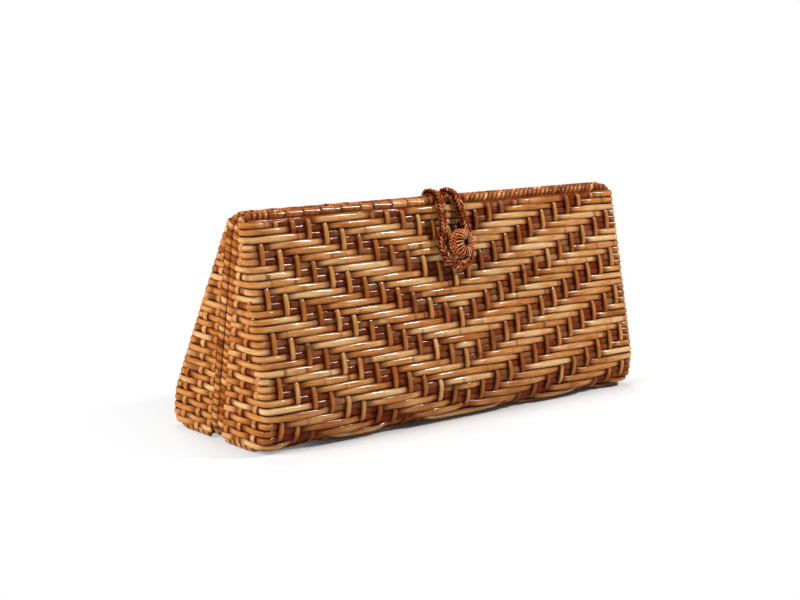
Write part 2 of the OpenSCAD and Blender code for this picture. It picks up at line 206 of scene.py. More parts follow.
# Painted shade along a strand's edges: how close it keeps to them, and its strength
EDGE_POWER, EDGE_SHADE = 3.2, 0.95
# Painted shade and stain on the inside of the weave, its unevenness, and the gloss of raised and tucked runs
INNER_SHADE_AND_STAIN, PATCH_STEP, PATCH_DEPTH, PATCH_MEAN = 0.78, 0.04, 1.8, 0.93
RAISED_COAT, TUCK_LOSS = 0.26, 0.18
# Painted shade in the seam: its fall per metre, its reach and its strength
SEAM_FALL, SEAM_REACH, SEAM_SHADE = 2200.0, 1.3, 0.85
# Roughness of the cane under its varnish
ROUGH_LEAST, ROUGH_SPAN = 0.22, 0.25


def linear(rgb):
    return tuple(
        (c / 255 / 12.92) if c / 255 <= 0.04045 else ((c / 255 + 0.055) / 1.055) ** 2.4 for c in rgb
    ) + (1.0,)


class CaneNodes(Nodes):
    """Nodes of a varnished cane."""

    def __init__(self, name):
        self.look = bpy.data.materials.new(name)
        super().__init__(self.look)

    def attribute(self, label):
        node = self.nodes.new("ShaderNodeAttribute")
        node.attribute_name = label
        return node.outputs["Fac"]

    def times(self, a, b, clamp=False):
        return self.maths("MULTIPLY", a, b, clamp)

    def plus(self, a, b, clamp=False):
        return self.maths("ADD", a, b, clamp)

    def minus(self, a, b, clamp=False):
        return self.maths("SUBTRACT", a, b, clamp)

    def swing(self, noise, amount):
        """A noise turned into a change to both sides of nothing."""
        return self.times(self.minus(noise, 0.5), amount)

    def place_parts(self):
        return self.add("ShaderNodeSeparateXYZ", {0: self.own_place()}).outputs

    def noise(self, x, y, z, scale, detail):
        place = self.add("ShaderNodeCombineXYZ", {0: x, 1: y, 2: z})
        sockets = {"Vector": place.outputs[0], "Scale": scale, "Detail": detail}
        return self.add("ShaderNodeTexNoise", sockets).outputs[0]

    def ramp(self, value, tones):
        node = self.add("ShaderNodeValToRGB", {0: value})
        stops = node.color_ramp.elements
        stops[0].color, stops[1].color = linear(tones[0]), linear(tones[-1])
        for i, tone in enumerate(tones[1:-1], 1):
            stops.new(i / (len(tones) - 1)).color = linear(tone)
        return node.outputs[0]

    def blend(self, amount, base, tone):
        node = self.nodes.new("ShaderNodeMix")
        node.data_type = "RGBA"
        for socket, value in ((0, amount), (6, base), (7, linear(tone))):
            self.feed(node.inputs[socket], value)
        return node.outputs[2]

    def varnish(self, colour, fibre, height, coat, coat_rough, depth):
        bump = self.add("ShaderNodeBump", {"Strength": 0.35, "Distance": depth, "Height": height})
        skin = self.add(
            "ShaderNodeBsdfPrincipled",
            {
                "Base Color": colour,
                "Roughness": self.plus(self.times(fibre, ROUGH_SPAN), ROUGH_LEAST),
                "Specular IOR Level": 0.0,
                "Coat Weight": coat,
                "Coat Roughness": coat_rough,
                "Normal": bump.outputs[0],
            },
        )
        self.add("ShaderNodeOutputMaterial", {"Surface": skin.outputs[0]})
        return self.look


def cane_finish(
    name, tones, tuck_shade_and_stain_tone, edge_shade_tone, joints=0.75, stretch=1.0, coat=0.09, woven=False, seam=False
):
    """Varnished cane: a tone to each strand, streaks along it, dark joints, painted shade along its edges and
    painted shade with stain in its tucks.
    """
    c = CaneNodes(name)
    shade, along, tuck = (c.attribute(k) for k in ("shade", "along", "tuck"))
    ring_x, ring_y = c.attribute("girth_x"), c.attribute("girth_y")
    # Fibres and the slow change of tone along the strand
    own = c.times(shade, GRAIN_SEED)
    run = c.times(along, GRAIN_ALONG * stretch)
    round_x, round_y = (c.times(ring, GRAIN_ROUND) for ring in (ring_x, ring_y))
    fibre = c.noise(run, round_x, c.plus(round_y, own), 2.0, 4.0)
    drift = c.noise(run, own, 3.7, 1.0, 3.0)
    tone = c.plus(shade, c.swing(fibre, GRAIN_TONE))
    colour = c.ramp(c.plus(tone, c.swing(drift, DRIFT_TONE), clamp=True), tones)
    # Joints of the cane: short dark smudges, far apart
    ring = c.noise(c.times(along, JOINT_STEP), c.times(shade, JOINT_SEED), 0.0, 1.0, 0.0)
    ring = c.minus(c.plus(ring, c.swing(fibre, JOINT_RAG)), JOINT_FROM)
    ring = c.times(c.times(ring, JOINT_SHARP, clamp=True), joints)
    colour = c.blend(ring, colour, JOINT_TONE)
    # Painted shade darkens both edges of the strand, and painted shade with stain darkens it where it tucks
    # under its neighbours
    edge = c.maths("POWER", c.maths("ABSOLUTE", ring_x), EDGE_POWER)
    colour = c.blend(c.times(edge, EDGE_SHADE), colour, edge_shade_tone)
    if woven:
        # On the inside of the bag the painted shade and stain go the other way about: the runs outside are
        # the tucked ones
        facing = c.plus(c.times(ring_y, 1.2), 0.62, clamp=True)
        inner = c.times(c.minus(INNER_SHADE_AND_STAIN, tuck), c.minus(1.0, facing), clamp=True)
        tuck = c.plus(c.times(tuck, facing), inner)
        # The painted shade and stain are uneven from strand to strand
        patch = c.noise(c.times(along, PATCH_STEP), own, 9.1, 1.0, 2.0)
        tuck = c.times(tuck, c.plus(c.swing(patch, PATCH_DEPTH), PATCH_MEAN, clamp=True))
        # The raised runs were rubbed to a higher gloss
        coat = c.minus(RAISED_COAT, c.times(tuck, TUCK_LOSS), clamp=True)
    # Painted shade and stain where the strand is tucked under
    colour = c.blend(tuck, colour, tuck_shade_and_stain_tone)
    if seam:
        # Painted shade also darkens the cane where the two halves meet
        off_seam = c.times(c.maths("ABSOLUTE", c.place_parts()[1]), SEAM_FALL)
        near_seam = c.minus(SEAM_REACH, off_seam, clamp=True)
        colour = c.blend(c.times(near_seam, SEAM_SHADE), colour, tuck_shade_and_stain_tone)
    return c.varnish(colour, fibre, c.minus(fibre, c.times(ring, 0.6)), coat, 0.11, 0.0002)


def rod_finish(name, tones, lengthwise=(8.0, 420.0, 420.0)):
    """Varnished cane for the plain rods and ties, with its grain from the piece's own place."""
    c = CaneNodes(name)
    x, y, z = (c.times(part, k) for part, k in zip(c.place_parts(), lengthwise))
    fibre = c.noise(x, y, z, 1.0, 4.0)
    drift = c.noise(c.times(x, 3.0), c.times(y, 0.3), c.times(z, 0.3), 1.0, 2.0)
    tone = c.plus(c.times(fibre, 0.6), c.times(drift, 0.4), clamp=True)
    return c.varnish(c.ramp(tone, tones), fibre, fibre, 0.16, 0.13, 0.0003)


# Rolling and joining canes

def unit_rows(vectors, least=0.0):
    return vectors / np.maximum(np.linalg.norm(vectors, axis=1), least)[:, None]


def lengths_along(points):
    """Distance of each point from the first, along the line."""
    return np.concatenate([[0], np.cumsum(np.linalg.norm(np.diff(points, axis=0), axis=1))])


def roll_cane(points, outward, width, thick, shade, tuck=None, sides=8, flatness=1.0):
    """One cane, in millimetres: a grid rolled round its line, round side outward, with closed ends."""
    points = np.asarray(points, float)
    outward = np.asarray(outward, float)
    count = len(points)
    width = np.broadcast_to(np.asarray(width, float), count).copy()
    thick = np.broadcast_to(np.asarray(thick, float), count).copy()
    width[[0, -1]], thick[[0, -1]] = 0.0, 0.0
    along = lengths_along(points)
    tangent = unit_rows(np.gradient(points, axis=0), 1e-9)
    across = unit_rows(np.cross(outward, tangent), 1e-9)
    out = np.cross(tangent, across)
    bpy.ops.mesh.primitive_grid_add(x_subdivisions=count - 1, y_subdivisions=sides, size=2.0)
    cane = bpy.context.object
    mesh = cane.data
    flat = np.empty(len(mesh.vertices) * 3, np.float32)
    mesh.vertices.foreach_get("co", flat)
    flat = flat.reshape(-1, 3)
    station = np.rint((flat[:, 0] + 1) / 2 * (count - 1)).astype(int)
    side = np.rint((flat[:, 1] + 1) / 2 * sides).astype(int) % sides
    angle = 2 * math.pi * side / sides
    x, y = np.cos(angle), np.sin(angle)
    # A split cane is flatter on its inner side
    across_by = np.sign(x) * np.abs(x) ** flatness
    out_by = np.where(y > 0, np.abs(y) ** flatness, -0.85 * np.abs(y) ** 0.8)
    placed = (
        points[station]
        + across[station] * (across_by * width[station] / 2)[:, None]
        + out[station] * (out_by * thick[station] / 2)[:, None]
    )
    mesh.vertices.foreach_set("co", (placed * MM).astype(np.float32).ravel())
    tuck = np.zeros(count) if tuck is None else np.broadcast_to(np.asarray(tuck, float), count)
    for label, values in (
        ("along", along[station]),
        ("girth_x", x),
        ("girth_y", y),
        ("shade", np.full(len(station), shade)),
        ("tuck", tuck[station]),
    ):
        mesh.attributes.new(label, "FLOAT", "POINT").data.foreach_set("value", values.astype(np.float32))
    return cane


def select_only(piece):
    deselect()
    piece.select_set(True)
    bpy.context.view_layer.objects.active = piece


def join_canes(canes, name, look):
    """Joins canes into one mesh with closed seams and its faces outwards."""
    deselect()
    for cane in canes:
        cane.select_set(True)
    bpy.context.view_layer.objects.active = canes[0]
    bpy.ops.object.join()
    piece = bpy.context.object
    piece.name = piece.data.name = name
    bpy.ops.object.mode_set(mode="EDIT")
    bpy.ops.mesh.select_all(action="SELECT")
    bpy.ops.mesh.remove_doubles(threshold=1e-6)
    bpy.ops.mesh.normals_make_consistent(inside=False)
    bpy.ops.object.mode_set(mode="OBJECT")
    bpy.ops.object.shade_smooth()
    piece.data.materials.clear()
    piece.data.materials.append(look)
    return piece


def turn_round(piece):
    """Turns a piece half round, from the front half to the back half."""
    select_only(piece)
    piece.rotation_euler.z = math.pi
    bpy.ops.object.transform_apply(location=False, rotation=True, scale=False)
    return piece


def turn_copy(piece, name):
    """A copy for the back half, with its own mesh."""
    select_only(piece)
    bpy.ops.object.duplicate()
    copy = bpy.context.object
    copy.name = copy.data.name = name
    return turn_round(copy)


def fit_piece(piece, body, slot, *nodes):
    """Hangs a finished piece on its body and lets it stand for its solids."""
    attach(piece, body)
    if nodes:
        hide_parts(*nodes)


# The wall that the canes follow

# The canes cross on a middle surface, this far in from the crests of the weave
MID = 1.75
# Middles of the knee's and the base edge's rounding, and the radii of the middle surface there
KNEE = (-(HALF_DEPTH - CORNER_R), KNEE_H)
BASE = (-(HALF_DEPTH - BASE_R), BASE_R)
TURN_R, BASE_TURN_R = CORNER_R - MID, BASE_R - MID
# Lengths of the wall from its top edge down and in under the base
LEAN_LEN = (WALL_TOP - KNEE_H - TURN_R * math.sin(LEAN)) / math.cos(LEAN)
KNEE_LEN = TURN_R * LEAN
DROP_LEN = KNEE_H - BASE_R
ROUND_LEN = BASE_TURN_R * math.pi / 2
BASE_LEN = HALF_DEPTH - BASE_R - MOUTH_Y
WALL_LEN = LEAN_LEN + KNEE_LEN + DROP_LEN + ROUND_LEN + BASE_LEN
ROWS = int(WALL_LEN / ROW)
# Where the outward direction dips below this, the wall counts as base
BASE_DIP = -0.82
# Ends of the bag and of its flat face at the middle surface
SIDE_X, FLAT_X = BAG_W / 2 - MID, BAG_W / 2 - CORNER_R


def rounding(middle, radius, angle):
    """(y, z, outward y, outward z) on a rounded part of the wall."""
    ny, nz = -math.cos(angle), math.sin(angle)
    return middle[0] + radius * ny, middle[1] + radius * nz, ny, nz


def wall_at(s):
    """(y, z, outward y, outward z) of the middle surface, s millimetres down from its top edge."""
    if s < LEAN_LEN:
        y, z, ny, nz = rounding(KNEE, TURN_R, LEAN)
        left = LEAN_LEN - s
        return y + left * math.sin(LEAN), z + left * math.cos(LEAN), ny, nz
    s -= LEAN_LEN
    if s < KNEE_LEN:
        return rounding(KNEE, TURN_R, LEAN * (1 - s / KNEE_LEN))
    s -= KNEE_LEN
    if s < DROP_LEN:
        return -HALF_DEPTH + MID, KNEE_H - s, -1.0, 0.0
    s -= DROP_LEN
    if s < ROUND_LEN:
        return rounding(BASE, BASE_TURN_R, -s / BASE_TURN_R)
    s -= ROUND_LEN
    return BASE[0] + s, MID, 0.0, -1.0


def is_over(stake, row):
    """Whether this row's weaver passes over this stake: three over, three under, in a V about the middle."""
    return (row + abs(stake) + 3) % 6 >= 3


def smooth_through(places, values, x):
    """A curve through the values at these places, with level crowns and troughs."""
    x = np.asarray(x, float)
    i = np.clip(np.searchsorted(places, x, side="right") - 1, 0, len(places) - 2)
    gap = np.diff(places)
    slope = np.diff(values) / gap
    lean = np.zeros(len(values))
    both = slope[:-1] * slope[1:] > 0
    lean[1:-1][both] = 2 * slope[:-1][both] * slope[1:][both] / (slope[:-1] + slope[1:])[both]
    t = np.clip((x - places[i]) / gap[i], 0, 1)
    from_start = (2 * t**3 - 3 * t**2 + 1) * values[i] + (t**3 - 2 * t**2 + t) * lean[i] * gap[i]
    from_end = (3 * t**2 - 2 * t**3) * values[i + 1] + (t**3 - t**2) * lean[i + 1] * gap[i]
    return from_start + from_end


def bowed(over, reach):
    """Heights of a strand at its crossings: a run over or under several neighbours is bowed in its middle."""
    over = list(over)
    heights = np.zeros(len(over))
    start = 0
    while start < len(over):
        stop = start
        while stop < len(over) and over[stop] == over[start]:
            stop += 1
        for k in range(start, stop):
            inside = min(k - start, stop - 1 - k)
            rise = reach * (0.88 + 0.27 * min(inside, 1))
            heights[k] = rise if over[start] else -rise
        start = stop
    return heights


# Woven walls

WEAVER_W, WEAVER_T = 3.5, 2.0
STAKE_W, STAKE_T = 3.7, 1.6
WEAVER_RISE, STAKE_RISE = 0.95, 0.72
# Usual tone of a strand, and how far strands differ
WEAVER_TONE, STAKE_TONE = (0.6, 0.15), (0.4, 0.14)
# How far strands differ in breadth, and rows and stakes lie off their places
WEAVER_SPREAD, STAKE_SPREAD, ROW_SLIP, STAKE_SLIP = 0.035, 0.05, 0.08, 0.35
# Height share below which a strand counts as tucked, the share over which that grows, and its most
TUCK_FROM, TUCK_BY, TUCK_MOST = 0.74, 0.55, 0.9
# Steps along a weaver's face, its ends and a stake
FACE_STEPS, END_STEP, STAKE_STEP = 185, 1.3, 0.85
# Breadth of a weaver at these heights, from tucked under to the top of a long run: it is narrowest on its
# way up and spreads where it lies flat, over or under
WEAVER_UP = (0, 0.22, 0.5, 0.8, 0.94, 1.07)
WEAVER_BREADTH = (1.26, 1.2, 1.06, 0.97, 1.0, 1.16)
# Height of a weaver as it leaves the face, at the corners and on the base
CORNER_EDGE, BASE_EDGE = 0.35, -0.6
# On the base the weavers rise less and stop short of the ends
BASE_SHARE, BASE_SHORT = 0.68, 3.5
# Breadth that a weaver keeps round the corners, and its breadth on the ends
CORNER_BREADTH, END_BREADTH = 0.97, 0.95
# The rows are packed up against the rim
ROW_LIFT = 0.8
# How far the face bows out, the height over which that grows from the top and goes at the base,
# and the depth of wall at which it starts and over which it grows
BELLY, BELLY_GROW, BELLY_GO, DEEP_FROM, DEEP_BY = 1.6, 60, 20, 8, 14
# Distances of the stakes on the ends from the seam
END_STAKES = (6.0, 14.6, 24.6)
# Distance of the loop's legs from the middle, and the room to each side of a leg
LEG_X, LEG_ROOM = 6.3, 4.2
# Below a leg the top row is drawn in and down this far, and loses this share of its breadth
PRESS_IN, PRESS_DOWN, PRESS_NARROW = 0.5, 1.5, 0.4
STAKE_ORDER = range(-HALF_STAKES, HALF_STAKES + 1)
stake_x = {i: i * PITCH + rng.normal(0, STAKE_SLIP) for i in STAKE_ORDER}


def belly(points):
    """Lets the face bow out a little in its middle, as a woven wall does."""
    x, y, z = points.T
    low = np.clip((WALL_TOP - z) / BELLY_GROW, 0, 1)
    low = low * low * (3 - 2 * low) * np.clip(0.35 + z / BELLY_GO, 0, 1)
    deep = np.clip((-y - DEEP_FROM) / DEEP_BY, 0, 1)
    points[:, 1] -= BELLY * np.clip(1 - (x / (BAG_W / 2)) ** 2, 0, 1) * low * deep
    return points


def row_place(row):
    """How far down the wall a row lies."""
    return (row + 0.5) * ROW - ROW_LIFT


def height_share(rise, reach, most=1.1):
    """0 where a strand is tucked under, 1 where it lies on top."""
    return np.clip(0.5 + rise / (2 * reach), 0, most)


def tucked(up):
    """How much painted shade and stain a strand gets at this height share."""
    return np.clip((TUCK_FROM - up) / TUCK_BY, 0, TUCK_MOST)


def round_the_end(row, wall, sign):
    """A weaver's run from the seam along one end and round the corner: places, facings and heights."""
    y, z, ny, nz = wall
    depth = -y - TURN_R
    from_y = RIM_Y + 0.9
    run, end_rise = np.zeros(0), np.zeros(0)
    if depth > from_y + 1.5:
        stakes = [at for at in END_STAKES if at < depth - 1]
        crossings = bowed([(row + k) % 2 == 0 for k in range(len(stakes))], WEAVER_RISE)
        run = np.arange(from_y, depth, END_STEP)
        end_rise = smooth_through(
            np.array([from_y - 4] + stakes + [depth + 5]),
            np.concatenate([[-0.5], crossings, [CORNER_EDGE]]),
            run,
        )
    ends = np.stack([sign * (SIDE_X + end_rise), -run, np.full(len(run), z)], 1)
    turn = np.radians(np.linspace(90, 0, 8))[:-1]
    radius = TURN_R + CORNER_EDGE
    corner = np.stack(
        [
            sign * (FLAT_X + radius * np.sin(turn)),
            y + TURN_R + radius * np.cos(turn) * ny,
            np.full(len(turn), z) + CORNER_EDGE * nz,
        ],
        1,
    )
    end_out = np.tile([float(sign), 0.0, 0.0], (len(run), 1))
    corner_out = np.stack([sign * np.sin(turn), ny * np.cos(turn), nz * np.cos(turn)], 1)
    return (
        np.concatenate([ends, corner]),
        np.concatenate([end_out, corner_out]),
        np.concatenate([end_rise, np.full(len(turn), CORNER_EDGE)]),
    )


def weave_row(row, under_loop):
    """One weaver, round one end, across the face and round the other end; row -1 fills in below the rim."""
    filler = row < 0
    wall = wall_at(0.0 if filler else row_place(row) + rng.normal(0, ROW_SLIP))
    y, z, ny, nz = wall
    shade = float(np.clip(rng.normal(*WEAVER_TONE), 0.1, 1.0))
    girth = 1 + rng.normal(0, WEAVER_SPREAD)
    on_base = nz < BASE_DIP
    reach = BAG_W / 2 - BASE_SHORT if on_base else FLAT_X
    lift = -WEAVER_RISE if filler else WEAVER_RISE * (BASE_SHARE if on_base else 1.0)
    edge = lift if filler else BASE_EDGE if on_base else CORNER_EDGE
    places = np.array([-reach - 3] + [stake_x[i] for i in STAKE_ORDER] + [reach + 3])
    crossings = bowed([filler or is_over(i, row) for i in STAKE_ORDER], lift)
    xs = np.linspace(-reach, reach, FACE_STEPS)
    rise = smooth_through(places, np.concatenate([[edge], crossings, [edge]]), xs)
    wander = 0.12 * np.sin(xs / 37 + row * 2.1) + 0.08 * np.sin(xs / 11 + row)
    # The top row is drawn in and down below the loop's two legs, to leave them room to turn
    pressed = under_loop and row == 0
    press = np.exp(-(((np.abs(xs) - LEG_X) / LEG_ROOM) ** 4)) if pressed else np.zeros(len(xs))
    rise = rise - PRESS_IN * press
    wander = wander + PRESS_DOWN * press
    points = np.stack([xs, y + ny * rise - nz * wander, z + nz * rise + ny * wander], 1)
    outs = np.tile([0.0, ny, nz], (len(xs), 1))
    if not (on_base or filler):
        left, right = (round_the_end(row, wall, sign) for sign in (-1, 1))
        face = points, outs, rise
        points, outs, rise = (np.concatenate([a, b, c[::-1]]) for a, b, c in zip(left, face, right))
    up = height_share(rise, WEAVER_RISE)
    width = WEAVER_W * girth * np.interp(up, WEAVER_UP, WEAVER_BREADTH)
    # It keeps its breadth round the corners, and is a little finer on the ends
    out_x = np.abs(points[:, 0])
    width = np.where(out_x > FLAT_X - 3, np.maximum(width, CORNER_BREADTH * WEAVER_W), width)
    width *= np.where(out_x > FLAT_X + 1, END_BREADTH, 1.0)
    if pressed:
        width *= 1 - PRESS_NARROW * np.interp(points[:, 0], xs, press, 0, 0)
    parts = [np.full(len(points), True)]
    if under_loop and filler:
        parts = [xs < -LEG_X - LEG_ROOM, xs > LEG_X + LEG_ROOM]
    tuck = tucked(up)
    return [
        roll_cane(belly(points[part]), outs[part], width[part], WEAVER_T * girth, shade, tuck[part], sides=10)
        for part in parts
    ]


def weave_weavers(under_loop):
    """All weavers of one half."""
    return [cane for row in range(-1, ROWS) for cane in weave_row(row, under_loop)]


def set_face_stake(i):
    """One stake, down the face and in under the base."""
    rows = row_place(np.arange(-1, ROWS + 1))
    ss = np.arange(-1.9, WALL_LEN, STAKE_STEP)
    heights = bowed([not is_over(i, row) for row in range(-1, ROWS + 1)], STAKE_RISE)
    rise = smooth_through(rows, heights, np.clip(ss, rows[0], rows[-1]))
    # The stake's end goes in under the rim
    rise -= 2.6 * np.clip((1.0 - ss) / 2.6, 0, 1) ** 1.5
    # It is pulled in where it turns under the base
    rise -= 0.8 * np.clip((ss - LEAN_LEN - KNEE_LEN - DROP_LEN + 3) / 5, 0, 1)
    y, z, ny, nz = np.array([wall_at(s) for s in ss]).T
    sway = 0.25 * np.sin(ss / 23 + i * 1.7)
    points = np.stack([stake_x[i] + sway, y + ny * rise, z + nz * rise], 1)
    outs = np.stack([np.zeros(len(ss)), ny, nz], 1)
    shade = float(np.clip(rng.normal(*STAKE_TONE), 0.05, 1.0))
    up = height_share(rise, STAKE_RISE)
    width = STAKE_W * (1 + rng.normal(0, STAKE_SPREAD)) * (1.05 - 0.1 * up)
    return roll_cane(belly(points), outs, width, STAKE_T, shade, tucked(up))


def set_end_stake(k, y, sign):
    """One upright stake on an end of the bag, woven plain: over one, under one."""
    top = min(KNEE_H + (HALF_DEPTH - y - 3.0) / math.tan(LEAN), WALL_TOP)
    zs = np.arange(1.5, top, STAKE_STEP)
    crossings = []
    for row in range(ROWS):
        _, row_z, _, nz = wall_at(row_place(row))
        if nz > BASE_DIP:
            crossings.append((row_z, (row + k) % 2 != 0))
    crossings.sort()
    levels = np.array([z for z, over in crossings])
    heights = bowed([over for z, over in crossings], STAKE_RISE)
    rise = smooth_through(levels, heights, np.clip(zs, levels[0], levels[-1]))
    round_in = CORNER_R - np.sqrt(np.maximum(CORNER_R**2 - (CORNER_R - zs) ** 2, 0))
    inset = np.where(zs < CORNER_R, round_in, 0)
    points = np.stack([sign * (SIDE_X + rise - inset), np.full(len(zs), -y), zs], 1)
    outs = np.tile([float(sign), 0.0, 0.0], (len(zs), 1))
    shade = float(rng.uniform(0.45, 0.75))
    # Painted shade and stain where the stake is tucked under the weavers
    tuck = 0.8 * (1 - height_share(rise, STAKE_RISE, 1))
    return roll_cane(points, outs, STAKE_W * 0.9, STAKE_T, shade, tuck)


def set_stakes():
    """All stakes of one half: over the face and under the base, and up the two ends."""
    canes = [set_face_stake(i) for i in STAKE_ORDER]
    return canes + [set_end_stake(k, y, sign) for sign in (-1, 1) for k, y in enumerate(END_STAKES)]


# Border along the base edge of the ends: section of its canes, their distance from its line, and its twist
BORDER_W, BORDER_T, BORDER_R, BORDER_TWIST = 2.3, 1.7, 0.95, 7.5
# Its place in from the end and up from the base, and how far it goes in and up where it meets the face
BORDER_IN, BORDER_UP, BORDER_TURN_IN, BORDER_TURN_UP = 2.6, 2.3, 2.2, 1.2


def twist_border():
    """Two canes twisted along the base edge of each end of one half."""
    canes = []
    for sign in (-1, 1):
        run = np.linspace(MOUTH_Y + 0.5, HALF_DEPTH - BASE_R + 2, 70)
        bend = np.clip((run - (HALF_DEPTH - BASE_R - 3)) / 5, 0, 1)
        out_x = BAG_W / 2 - BORDER_IN - BORDER_TURN_IN * bend**2
        line = np.stack([sign * out_x, -run, BORDER_UP + BORDER_TURN_UP * bend**2], 1)
        for strand in (0, 1):
            turn = 2 * math.pi * run / BORDER_TWIST + strand * math.pi
            away = np.stack([np.cos(turn), np.zeros(len(run)), np.sin(turn)], 1)
            shade = float(rng.uniform(0.4, 0.7))
            canes.append(roll_cane(line + away * BORDER_R, away, BORDER_W, BORDER_T, shade, 0.12))
    return canes


# Rims

# Lengths of the broad turns, and the stretch of the top that has them
BROAD_TURN = (9, 16)
BROAD_FROM, BROAD_TO = -RIM_X + RIM_CORNER + 1, -13
# The stretch of the top whose turns lie slanting as in a rope, and how far they slant
ROPE_FROM, ROPE_TO, ROPE_SLANT, BROAD_SLANT = 20, RIM_X - RIM_CORNER - 6, 12.0, 2.4
# Pitch of the other turns along the top
TOP_PITCH = 3.7
# Room that the turns leave for the lashings, and on the back rim for the loop's eyes
LASHING_ROOM, EYE_ROOM = 4.2, 3.2
# Share of its pitch that a broad, a rope and a close turn covers
BROAD_COVER, ROPE_COVER, CLOSE_COVER = 1.0, 0.68, 0.84
# How much thicker than the solids' binding a turn is: broad ones, others on the top, and the rest
BROAD_SWELL, TOP_SWELL, SIDE_SWELL = 0.05, 0.5, 0.25
# How far the turns lie in the rod, and how far, in radians, the ends of a turn lap
BIND_SINK, BIND_LAP = 0.04, 0.12
# Usual tone of the turns on the top and of the others, and how far broad ones and others differ
TOP_TONE, SIDE_TONE, BROAD_SPREAD, TURN_SPREAD = 0.55, 0.66, 0.12, 0.2
# How far the turns differ in pitch
PITCH_SPREAD = 0.04


def rim_route():
    """Points round one rod's line in the seam plane, from the middle of the base to the right and round."""
    points, inward = [], []
    side_x, low, high = RIM_X - RIM_CORNER, RIM_BASE + RIM_CORNER, RIM_TOP - RIM_CORNER

    def straight(places, into):
        for place in places:
            points.append(place)
            inward.append(into)

    def corner(x, z, start):
        for a in np.radians(np.arange(start, start + 90, 6)):
            points.append((x + RIM_CORNER * math.cos(a), z + RIM_CORNER * math.sin(a)))
            inward.append((-math.cos(a), -math.sin(a)))

    straight([(x, RIM_BASE) for x in np.arange(0, side_x, 1.0)], (0, 1))
    corner(side_x, low, -90)
    straight([(RIM_X, z) for z in np.arange(low, high, 1.0)], (-1, 0))
    corner(side_x, high, 0)
    straight([(x, RIM_TOP) for x in np.arange(side_x, -side_x, -1.0)], (0, -1))
    corner(-side_x, high, 90)
    straight([(-RIM_X, z) for z in np.arange(high, low, -1.0)], (1, 0))
    corner(-side_x, low, 180)
    straight([(x, RIM_BASE) for x in np.arange(-side_x, 0.01, 1.0)], (0, 1))
    points, inward = np.array(points), np.array(inward, float)
    return points, inward, lengths_along(points)


def bind_rim(back):
    """Flat cane wound round one rod: broad turns top left, slanting ones top right, close ones elsewhere."""
    points, inward, length = rim_route()
    total = length[-1]
    y = RIM_Y if back else -RIM_Y
    radius = RIM_R + BIND_T / 2 - BIND_SINK
    turn = np.linspace(-BIND_LAP, 2 * math.pi + BIND_LAP, 21)

    def route(at, values, k):
        return np.interp(at, length, values[:, k])

    canes = []
    s = 2.0
    while s < total - 2:
        x, z = route(s, points, 0), route(s, points, 1)
        on_top = z > RIM_TOP - 1
        wide = rng.uniform(*BROAD_TURN)
        broad = on_top and all(BROAD_FROM < route(end, points, 0) < BROAD_TO for end in (s, s + wide))
        rope = on_top and ROPE_FROM < x < ROPE_TO
        pitch = wide if broad else (TOP_PITCH if on_top else ROW) * (1 + rng.normal(0, PITCH_SPREAD))
        middle = s + pitch / 2
        s += pitch
        x = route(middle, points, 0)
        if z < RIM_BASE + 1 and any(abs(x - lash) < LASHING_ROOM + pitch for lash in LASHINGS):
            continue
        if back and on_top and any(abs(x - leg) < EYE_ROOM + pitch / 2 for leg in (-LEG_X, LEG_X)):
            continue
        slant = BROAD_SLANT if broad else ROPE_SLANT if rope else pitch
        at = np.clip(middle + (turn / (2 * math.pi) - 0.5) * slant, 0, total)
        ix, iz = route(at, inward, 0), route(at, inward, 1)
        norm = np.hypot(ix, iz)
        # Each turn starts and ends on the inner side of the rod
        radial = np.stack([ix / norm * np.cos(turn), np.sin(turn), iz / norm * np.cos(turn)], 1)
        centre = np.stack([route(at, points, 0), np.full(len(at), y), route(at, points, 1)], 1)
        width = pitch * (BROAD_COVER if broad else ROPE_COVER if rope else CLOSE_COVER)
        thick = BIND_T + (BROAD_SWELL if broad else TOP_SWELL if on_top else SIDE_SWELL)
        tone = rng.normal(TOP_TONE if on_top else SIDE_TONE, BROAD_SPREAD if broad else TURN_SPREAD)
        shade = float(np.clip(tone, 0.0, 1))
        flatness = 0.5 if broad else 0.9
        line = centre + radial * radius
        canes.append(roll_cane(line, radial, width, thick, shade, 0.08, flatness=flatness))
    return canes


# Closing loop

# Spacing of the braid's stitches, how far each runs along the braid, and their section
STITCH, STITCH_RUN, STITCH_W, STITCH_T = 1.95, 2.7, 1.22, 1.0
# Section of the braid's dark core
CORE_W, CORE_T = 3.3, 1.9
tie_z = BAG_H - BUTTON_DROP
tie_depth = HALF_DEPTH - CORNER_R + (CORNER_R - SKIN) / math.cos(LEAN) - (tie_z - KNEE_H) * math.tan(LEAN)
# Where the button is tied on, and the directions up along the face and out of it
TIE = np.array([0.0, -tie_depth, tie_z])
FACE_UP = np.array([0.0, math.sin(LEAN), math.cos(LEAN)])
FACE_OUT = np.array([0.0, -math.cos(LEAN), math.sin(LEAN)])
# Height of the button's back above the wall
BUTTON_BACK = SKIN + BUTTON_GAP


def smooth_line(stations, steps):
    """A smooth line through stations, with this many steps from each to the next."""
    stations = np.asarray(stations, float)
    n = len(stations)
    line = []
    for i in range(n - 1):
        a, b, c, d = (stations[min(max(j, 0), n - 1)] for j in (i - 1, i, i + 1, i + 2))
        square, cube = 2 * a - 5 * b + 4 * c - d, 3 * b - a - 3 * c + d
        for t in np.arange(steps) / steps:
            line.append(0.5 * (2 * b + (c - a) * t + square * t**2 + cube * t**3))
    line.append(stations[-1])
    return np.array(line)


def rows_at(at, places, rows):
    """Rows of numbers between the given ones, each column by itself."""
    return np.stack([np.interp(at, places, rows[:, k]) for k in range(rows.shape[1])], 1)


def by_button(x, up, out):
    return TIE + np.array([x, 0, 0]) + up * FACE_UP + out * FACE_OUT


